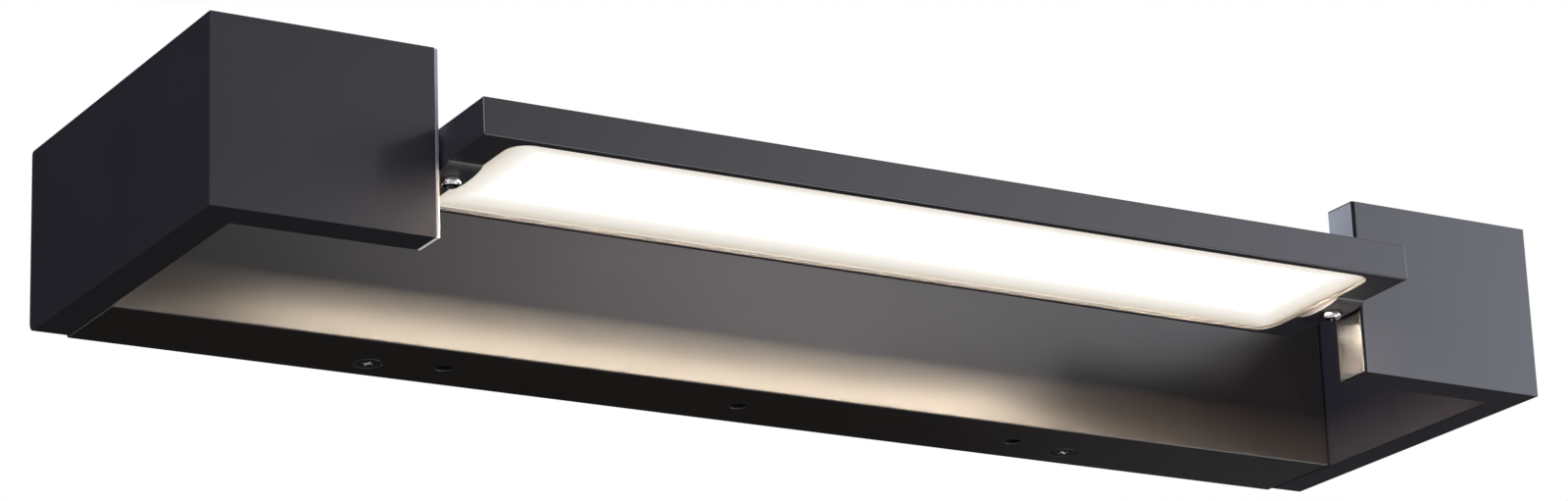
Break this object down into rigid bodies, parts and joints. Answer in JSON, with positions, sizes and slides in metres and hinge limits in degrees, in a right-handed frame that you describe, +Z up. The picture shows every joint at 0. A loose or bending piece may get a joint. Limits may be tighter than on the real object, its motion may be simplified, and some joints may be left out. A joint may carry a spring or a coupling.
{
  "type": "led wall light",
  "caption": "Long black LED wall light: a shallow back housing and two L-shaped end frames hold a slim downlight head that tilts on a pivot at each end.",
  "frame": {"origin": "middle of the wall face, on the bracket's rear face", "axes": "+X to the right along the light, -Y from the wall into the room, +Z up"},
  "size_m": [0.41, 0.138, 0.05],
  "materials": {
    "black_paint": "satin black powder coat on sheet steel",
    "black_head": "satin black powder coat on aluminium",
    "cap_aluminium": "satin, bare",
    "zinc_plated_steel": "zinc plated",
    "black_screw": "blackened",
    "bright_screw": "bright nickel",
    "brass": "turned",
    "rubber": "matt",
    "terminal_plastic": "moulded",
    "driver_case": "fine texture",
    "white_sheath": "cable sheath",
    "nylon": "natural nylon",
    "opal": "opal, lit from behind",
    "white_board": "white solder mask"
  },
  "bodies": {
    "frame": {"end_frame_left": "black_paint", "end_frame_right": "black_paint", "flange_cap_left": "cap_aluminium", "flange_cap_right": "cap_aluminium", "back_housing": "black_paint", "frame_screw_left_top": "zinc_plated_steel", "frame_screw_left_bottom": "zinc_plated_steel", "frame_screw_right_top": "zinc_plated_steel", "frame_screw_right_bottom": "zinc_plated_steel", "wall_bracket": "zinc_plated_steel", "lock_screw_left": "black_screw", "lock_screw_right": "black_screw", "clinch_nut_left": "zinc_plated_steel", "clinch_nut_right": "zinc_plated_steel", "cable_grommet": "rubber", "terminal_block": "terminal_plastic", "earth_screw": "brass", "led_driver": "driver_case", "driver_screw_left": "zinc_plated_steel", "driver_screw_right": "zinc_plated_steel", "mains_lead": "white_sheath", "supply_lead": "white_sheath", "frame_grommet": "rubber", "pivot_shaft_left": "brass", "pivot_shaft_right": "brass", "friction_washer_left": "nylon", "friction_washer_right": "nylon", "spring_washer_left": "zinc_plated_steel", "spring_washer_right": "zinc_plated_steel", "pivot_nut_left": "zinc_plated_steel", "pivot_nut_right": "zinc_plated_steel"},
    "head": {"head_body": "black_head", "diffuser": "opal", "led_board": "white_board", "board_screw_left": "zinc_plated_steel", "board_screw_right": "zinc_plated_steel", "pivot_screw_left": "bright_screw", "pivot_screw_right": "bright_screw"}
  },
  "joints": [
    {"name": "head_tilt", "type": "hinge", "parent": "frame", "child": "head", "pos_m": [0, -0.1095, -0.0008], "axis": [1, 0, 0], "range_deg": [-88.5, 91.5]}
  ]
}
